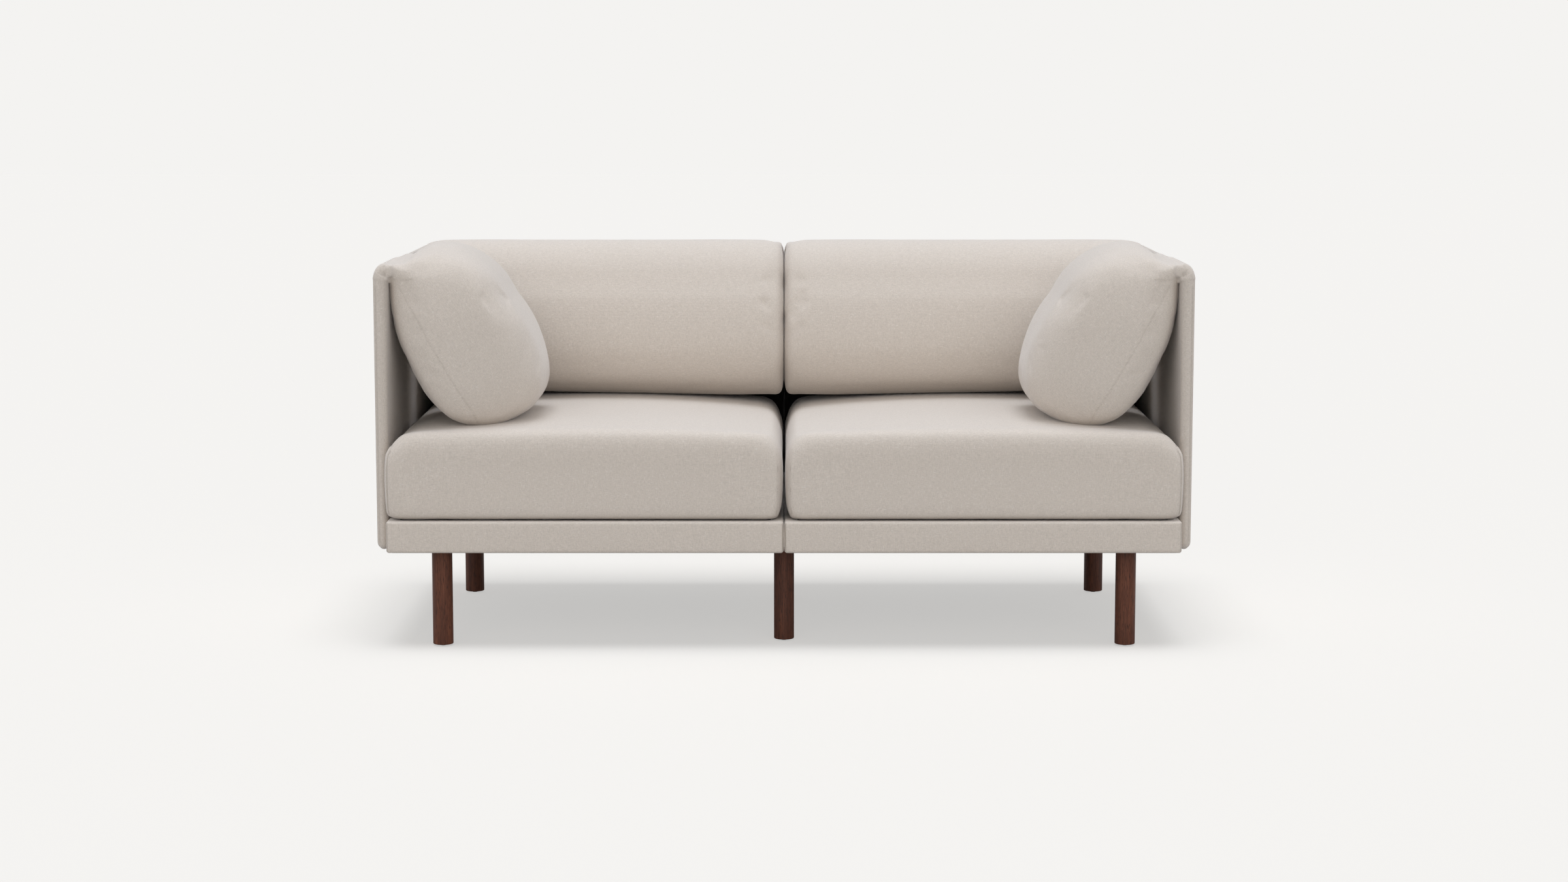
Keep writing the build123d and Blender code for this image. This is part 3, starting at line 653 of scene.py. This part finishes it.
def inflate(piece, pressure, most):
    """Swells a closed piece as filling does, by no more than most at any point."""
    before = points_of(piece)
    cloth = piece.modifiers.new("filling", "CLOTH")
    cloth.settings.quality = 4
    cloth.settings.mass = 0.3
    cloth.settings.tension_stiffness = 15
    cloth.settings.compression_stiffness = 15
    cloth.settings.bending_stiffness = 2
    cloth.settings.use_pressure = True
    cloth.settings.uniform_pressure_force = pressure
    cloth.settings.effector_weights.gravity = 0
    cloth.point_cache.frame_start = 1
    cloth.point_cache.frame_end = 20
    for number in range(1, 21):
        bpy.context.scene.frame_set(number)
    finish_modifiers(piece)
    bpy.context.scene.frame_set(1)
    moved = points_of(piece) - before
    length = np.linalg.norm(moved, axis=1)[:, None]
    set_points(piece, before + moved * np.minimum(1, most / np.maximum(length, 1e-9)))


def firm_seat(points):
    """The boxed sides keep their corners, and the top's edges are rounder."""
    return 0.88 * falling(points[:, 2], 0.455, 0.05)


def hump(values, middle, width):
    """1 at a middle, and fading softly to 0 on both sides of it."""
    return np.exp(-((values - middle) / width) ** 2)


def tight(one, other):
    """How far a corner between two faces is drawn out again, to a small radius."""
    return 0.0036 * np.exp(-(one ** 2 + other ** 2) / 0.011 ** 2)


FILLING_PRESSURE = 4
SEAT_GRAIN = 0.012
FRONT_SWELL = 0.0115
FULL_FRONT, FULL_INNER = 0.011, 0.008
SEAT_SEAM_OUT = 0.0105
SEAT_FROM_MIDDLE = 0.0006
REAR_CORNER_DROP = 0.020
SLICE = 0.0012
seat = softened("seat_cushion_right", "seat_right", SEAT_GRAIN, 20, 0.0016, firm_seat)
inflate(seat, FILLING_PRESSURE, 0.004)
halve_faces(seat)
seat_low, seat_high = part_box("seat_cushion_right")
points = points_of(seat)
x, y, z = points.T
# The front's outer corner swells out past the arm panel, and the top's edges are full.
front_bulge = falling(y, -0.394, 0.014) * rising(x, 0.83, 0.03)
upright = rising(z - seat_low.z, -0.006, 0.012) * falling(z, 0.462, 0.03)
x += FRONT_SWELL * front_bulge * upright
on_top = rising(z, 0.43, 0.035)
full_edge = np.maximum(FULL_FRONT * hump(y, -0.425, 0.04), FULL_INNER * hump(x, 0.012, 0.03))
z += full_edge * on_top
# The seams draw the boxed corners tight again.
outer, inner = seat_high.x + SEAT_SEAM_OUT - x, x - seat_low.x
front, bottom = y - seat_low.y, z - seat_low.z
below_top = falling(z, 0.455, 0.02)
x += below_top * (tight(outer, front) - tight(inner, front)) + tight(outer, bottom)
y -= below_top * (tight(outer, front) + tight(inner, front)) + tight(front, bottom)
z -= tight(front, bottom) + tight(outer, bottom)
np.clip(points, (0.0004, seat_low.y - 0.0009, seat_low.z), (seat_high.x + FRONT_SWELL, 1, 1),
        out=points)
# The two seats all but meet in the middle, and their rear corners there sink a little.
inner_side = falling(x, seat_low.x + 0.008, 0.008)
x[:] = np.maximum(x - 0.0045 * inner_side, SEAT_FROM_MIDDLE)
inner_rear = (1 - rising(x, seat_low.x, 0.060)) ** 2 * rising(y, -0.10, 0.25)
z -= REAR_CORNER_DROP * inner_rear * rising(z, 0.40, 0.07)
set_points(seat, points)
# The side panel's outline, as depth and height, from the front's foot over to the rear's.
outline = [(-0.4312, 0.292), (-0.4325, 0.32), (-0.4325, 0.44), (-0.428, 0.458), (-0.40, 0.464),
           (-0.30, 0.470), (0.0, 0.472), (0.30, 0.470), (0.385, 0.464), (0.394, 0.44),
           (0.394, 0.31), (0.39, 0.292)]
slice_through(seat, 0, [seat_high.x + 0.0081 - SLICE * number for number in range(13)])
slice_through(seat, 0, [seat_low.x + 0.0028 + SLICE * number for number in range(7)])
outer_seam = [(seat_high.x + (0.0042 if at_y < -0.42 else -0.005), at_y, at_z)
              for at_y, at_z in outline]
sew(seat, [outer_seam], 0.0028, 0.0014, 0.85)
inner_seam = [(seat_low.x + 0.0065, at_y, at_z) for at_y, at_z in outline[:3]]
sew(seat, [inner_seam], 0.0024, 0.0008, 0.6)
for cushion in (seat, mirrored(seat, "seat_left")):
    side = cushion.name.rsplit("_", 1)[1]
    dress(cushion, upright_weave, f"seat_cushion_{side}")
    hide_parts(f"seat_cushion_{side}", f"seat_core_{side}")

# Arm pillows: fibre-filled pillows that hang from the arm panels' top edges and lean into
# the seat. Two halves are sewn together along the middle of the ends, so that the cloth
# lies along the lean, and the cover runs on over the panel's top.
PILLOW_LEAN = math.radians(30)
HINGE_HEIGHT = 0.851
PILLOW_GRAIN = 0.008
PILLOW_MIDDLE = (0.712, -0.178, 0.678)
PILLOW_FULLER = [(-180, 2), (-160, 6), (-145, 0), (-130, -6), (-115, 11), (-90, 19), (-65, 11),
                 (-38, 2), (-20, 0), (60, 0), (72, 4), (82, -4), (92, -15), (107, -25),
                 (122, -23), (143, -13), (163, -3)]
END_DOME = 0.010
NARROW_INWARD, NARROW_UPWARD = 0.042, 0.018
EDGE_SAG = 0.010
FOOT_OUT = 0.009
leaning_weave = {"right": weave("linen_leaning_right", (0, -PILLOW_LEAN, 0)),
                 "left": weave("linen_leaning_left", (0, PILLOW_LEAN, 0))}
arm_edge = Vector((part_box("arm_pillow_right")[1].x, 0, HINGE_HEIGHT))


def near_arm_edge(points):
    """1 along the panel's top edge, where the pillow hangs, and 0 away from it."""
    away = np.hypot(points[:, 0] - arm_edge.x, points[:, 2] - arm_edge.z)
    return 1 - rising(away, 0.012, 0.05)


def firm_arm_pillow(points):
    """The edge that hangs from the panel keeps its shape, and nearly so does the foot."""
    return np.maximum(near_arm_edge(points), 0.93 * falling(points[:, 2], 0.62, 0.09))


arm_pillow = softened("arm_pillow_right", "arm_pillow_cloth_right", PILLOW_GRAIN, 60, 0.0,
                      firm_arm_pillow, 1, PILLOW_MIDDLE, PILLOW_FULLER)
points = points_of(arm_pillow)
x, y, z = points.T
round_end = np.hypot((x - PILLOW_MIDDLE[0]) / 0.15, (z - PILLOW_MIDDLE[2]) / 0.19)
dome = np.clip(1 - round_end ** 2, 0, 1)
from_middle = y - PILLOW_MIDDLE[1]
y += END_DOME * dome * rising(np.abs(from_middle), 0.13, 0.05) * np.sign(from_middle)
inward = falling(x, 0.80, 0.26) ** 2
upward = rising(z, 0.70, 0.17) ** 2 * falling(x, 0.83, 0.06)
near_end = rising(np.abs(from_middle), 0.02, 0.17)
narrowed = NARROW_INWARD * inward + NARROW_UPWARD * upward
y -= narrowed * near_end * np.sign(from_middle)
z -= EDGE_SAG * (hump(x, 0.839, 0.023) * rising(z, 0.835, 0.012))
x += FOOT_OUT * falling(x, 0.62, 0.08)
set_points(arm_pillow, points)
inflate(arm_pillow, FILLING_PRESSURE, 0.003)
halve_faces(arm_pillow)
sew(arm_pillow, [[(0.850, -0.40, 0.798), (0.684, -0.40, 0.511)],
                 [(0.850, 0.05, 0.798), (0.684, 0.05, 0.511)],
                 [(0.684, -0.377, 0.511), (0.676, -0.34, 0.48), (0.676, 0.0, 0.48),
                  (0.684, 0.021, 0.511)]],
    0.0024, 0.0006, 0.35)


def top_cover(name, sources, cuts, low, high, grain):
    """The cover where it runs from a panel's top over onto its pillow: one closed pad that
    lies just proud of both, and dives under their cloth at its borders. The sources are cut
    off past each cut, a place and the direction out of it, and a box joins them."""
    proud, dive, border = 0.0012, 0.0036, 0.014
    cover = block(name, low, high)
    strips = []
    for source in sources:
        strip = bpy.data.objects.new(f"{name}_strip", source.data.copy())
        bpy.context.scene.collection.objects.link(strip)
        only(strip)
        bpy.ops.object.mode_set(mode="EDIT")
        for at, square in cuts:
            bpy.ops.mesh.select_all(action="SELECT")
            bpy.ops.mesh.bisect(plane_co=at, plane_no=square, use_fill=True, clear_outer=True)
        bpy.ops.object.mode_set(mode="OBJECT")
        strips.append(strip)
    only(cover)
    for strip in strips:
        strip.select_set(True)
    bpy.ops.object.join()
    even = cover.modifiers.new("even", "REMESH")
    even.mode = "VOXEL"
    even.voxel_size = grain
    ease = cover.modifiers.new("ease", "SMOOTH")
    ease.factor = 0.5
    ease.iterations = 12
    finish_modifiers(cover)
    points = points_of(cover)
    normals = np.array([vertex.normal for vertex in cover.data.vertices])
    inside = np.min([(np.array(at) - points) @ np.array(square) for at, square in cuts], axis=0)
    lift = proud - dive * (1 - rising(inside, 0, border))
    set_points(cover, points + normals * lift[:, None])
    return cover


COVER_FOOT = ((0, 0, 0.802), (0, 0, -1))
arm_top = top_cover("arm_top_cover_right", (arm_panel, arm_pillow),
                    [((0.80, 0, 0), (-1, 0, 0)), COVER_FOOT, ((0, 0.06, 0), (0, 1, 0))],
                    (0.858, -0.387, 0.822), (0.880, 0.026, 0.846), 0.0032)
sew(arm_top, [[(0.893, -0.396, 0.843), (0.884, -0.396, 0.832), (0.873, -0.390, 0.825)]],
    0.0035, 0.0028, 0.5)
for sign, cover in ((1, arm_top), (-1, mirrored(arm_top, "arm_top_cover_left"))):
    side = cover.name.rsplit("_", 1)[1]
    dress(cover, leaning_weave[side], None)
    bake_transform(cover)
arm_pillows = {"right": arm_pillow, "left": mirrored(arm_pillow, "arm_pillow_cloth_left")}
for side, pillow in arm_pillows.items():
    dress(pillow, leaning_weave[side], f"arm_pillow_{side}")
    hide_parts(f"arm_pillow_{side}", f"arm_pillow_core_{side}")

# Back cushions: the same pillow, longer, hanging from the back panel. Its ends are fuller
# where the two cushions meet in the middle of the sofa, and the right one has a soft fold
# near the top there.
CUSHION_GRAIN = 0.010
CUSHION_MIDDLE = (0.434, 0.235, 0.68)
LOWER_FRONT_BACK = 0.052
UPPER_FRONT_OUT = 0.005
END_FULLER, END_DROP = 0.007, 0.010
FROM_MIDDLE = 0.0012
FOLD = [(0.004, 0.075, 0.705), (0.014, 0.070, 0.735), (0.026, 0.072, 0.765)]
back_edge = Vector((0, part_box("back_cushion_right")[1].y, HINGE_HEIGHT))


def near_back_edge(points):
    """1 along the panel's top edge, where the cushion hangs, and 0 away from it."""
    away = np.hypot(points[:, 1] - back_edge.y, points[:, 2] - back_edge.z)
    return 1 - rising(away, 0.012, 0.05)


back_cushion = softened("back_cushion_right", "back_cushion_cloth_right", CUSHION_GRAIN, 18, 0.0,
                        near_back_edge, 0, CUSHION_MIDDLE)
cushion_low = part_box("back_cushion_right")[0]
points = points_of(back_cushion)
x, y, z = points.T
front_half = falling(y, 0.22, 0.12)
low_part = falling(z, 0.74, 0.24)
y += LOWER_FRONT_BACK * front_half * low_part ** 1.15
y -= UPPER_FRONT_OUT * front_half * hump(z, 0.79, 0.032)
underside = 1 - rising(z, cushion_low.z, 0.06)
z += underside * (0.004 - 0.009 * falling(x, 0.62, 0.5))
x -= END_FULLER * falling(x, 0.030, 0.030) * hump(z, 0.51, 0.03)
x[:] = np.maximum(x, FROM_MIDDLE)
z -= END_DROP * hump(x, 0.004, 0.024) * falling(z, 0.56, 0.05)
set_points(back_cushion, points)
inflate(back_cushion, FILLING_PRESSURE, 0.003)
points = points_of(back_cushion)
points[:, 0] = np.maximum(points[:, 0], FROM_MIDDLE / 2)
set_points(back_cushion, points)
halve_faces(back_cushion)
back_top = top_cover("back_top_cover_right", (back_panel, back_cushion),
                     [((0, 0.335, 0), (0, -1, 0)), COVER_FOOT],
                     (0.006, 0.392, 0.824), (0.860, 0.414, 0.851), 0.004)
for sign, cover in ((1, back_top), (-1, mirrored(back_top, "back_top_cover_left"))):
    side = cover.name.rsplit("_", 1)[1]
    dress(cover, upright_weave, None)
    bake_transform(cover)
back_cushions = {"right": back_cushion, "left": mirrored(back_cushion, "back_cushion_cloth_left")}
sew(back_cushions["right"], [FOLD], 0.013, 0.0035, 0)
for side, cushion in back_cushions.items():
    dress(cushion, upright_weave, f"back_cushion_{side}")
    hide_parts(f"back_cushion_{side}", f"back_cushion_core_{side}")

# Floor, light and camera: a pale studio floor that meets a backdrop of the same tone, a
# broad soft light overhead with weak fills from all round, and the photograph's angle.
BACKDROP = (0.905, 0.896, 0.879, 1)
SKY = (0.165, 0.170, 0.180)
FLOOR_BOUNCE = (0.80, 0.775, 0.74, 1)
FLOOR_GLOW = 0.57
FLOOR_SIZE, FLOOR_DROP = 60, 0.0004
LENS, SENSOR = 66.98, 36
CAMERA_PLACE, CAMERA_PITCH = (0, -6.765, 1.265), 7.203
# Each lamp: its name, strength, colour, spread, tilt and turn in degrees, and what it
# lights. A tilt of 0 shines straight down, and a turn of 0 comes from the front.
LAMPS = [
    ("overhead", 1.30, (0.95, 1.0, 1.08), 34, 0, 0, "sofa"),
    ("floor_light", 1.30, (0.97, 1.0, 1.05), 34, 5, 0, "floor"),
    ("low_front_fill", 0.40, (1.03, 0.99, 0.94), 60, 74, 0, "both"),
    ("key", 0.80, (1.03, 0.99, 0.94), 80, 50, 0, "sofa"),
    ("left_fill", 0.76, (0.98, 1.0, 1.05), 80, 66, -90, "sofa"),
    ("right_fill", 0.76, (0.98, 1.0, 1.05), 80, 66, 90, "sofa"),
    ("rear_fill", 0.50, (1.0, 1.0, 1.0), 90, 52, 180, "sofa"),
]
# The side fills light neither the floor nor the inner face of the arm panel across.
ACROSS = {"left_fill": "arm_panel_right", "right_fill": "arm_panel_left"}
floor_only = bpy.data.collections.new("floor_only")
floor_left_out = bpy.data.collections.new("floor_left_out")
on_floor = np.array(SKY)
for name, strength, colour, spread, tilt, turn, lights in LAMPS:
    lamp = bpy.data.objects.new(name, bpy.data.lights.new(name, "SUN"))
    bpy.context.scene.collection.objects.link(lamp)
    lamp.data.energy = strength
    lamp.data.color = colour
    lamp.data.angle = math.radians(spread)
    lamp.rotation_euler = (math.radians(tilt), 0, math.radians(turn))
    if lights != "both":
        lamp.light_linking.receiver_collection = (
            floor_only if lights == "floor" else floor_left_out)
    if lights != "sofa":
        on_floor = on_floor + np.array(colour) * strength * math.cos(math.radians(tilt)) / math.pi

bpy.ops.object.select_all(action="DESELECT")
bpy.ops.mesh.primitive_plane_add(size=FLOOR_SIZE, location=(0, 0, -FLOOR_DROP))
floor = bpy.context.object
floor.name = "floor"
floor_paint, shader = new_material("pale_floor", BACKDROP, 0.9)
seen = tuple((1 - FLOOR_GLOW) * tone / light
             for tone, light in zip(BACKDROP, on_floor)) + (1,)
shader.inputs["Specular IOR Level"].default_value = 0.0
shader.inputs["Emission Color"].default_value = BACKDROP
path = add(floor_paint, "LightPath").outputs["Is Camera Ray"]
floor_colour = add(floor_paint, "Mix", {"data_type": "RGBA"}, i0=path, i6=FLOOR_BOUNCE, i7=seen)
feed(floor_paint, shader, "Base Color", floor_colour.outputs[2])
glow = add(floor_paint, "Math", {"operation": "MULTIPLY"}, i0=path, i1=FLOOR_GLOW)
feed(floor_paint, shader, "Emission Strength", glow.outputs[0])
floor.data.materials.append(floor_paint)
floor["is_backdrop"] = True
floor_only.objects.link(floor)
floor_left_out.objects.link(floor)
floor_left_out.collection_objects[0].light_linking.link_state = "EXCLUDE"
for name, panel in ACROSS.items():
    room = bpy.data.collections.new(f"{name}_leaves_out")
    for number, left_out in enumerate((floor, bpy.data.objects[panel])):
        room.objects.link(left_out)
        room.collection_objects[number].light_linking.link_state = "EXCLUDE"
    bpy.data.objects[name].light_linking.receiver_collection = room

world = bpy.data.worlds.new("studio")
bpy.context.scene.world = world
world.use_nodes = True
sky = world.node_tree.nodes["Background"]
backdrop = add(world, "Background", Color=BACKDROP)
sky.inputs[0].default_value = (*SKY, 1)
rays = add(world, "LightPath").outputs
seen_by = add(world, "Math", {"operation": "ADD"},
              i0=rays["Is Camera Ray"], i1=rays["Is Glossy Ray"])
seen_too = add(world, "Math", {"operation": "ADD", "use_clamp": True}, i0=seen_by.outputs[0],
               i1=rays["Is Transmission Ray"])
either = add(world, "MixShader", i0=seen_too.outputs[0], i1=sky.outputs[0], i2=backdrop.outputs[0])
world.node_tree.links.new(either.outputs[0], world.node_tree.nodes["World Output"].inputs[0])

camera = bpy.data.objects.new("camera", bpy.data.cameras.new("camera"))
bpy.context.scene.collection.objects.link(camera)
camera.data.sensor_width = SENSOR
camera.data.lens = LENS
camera.location = CAMERA_PLACE
camera.rotation_euler = (math.radians(90 - CAMERA_PITCH), 0, 0)
camera.data.clip_end = 200
bpy.context.scene.camera = camera
bpy.context.scene.view_settings.view_transform = "Standard"

low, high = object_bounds()
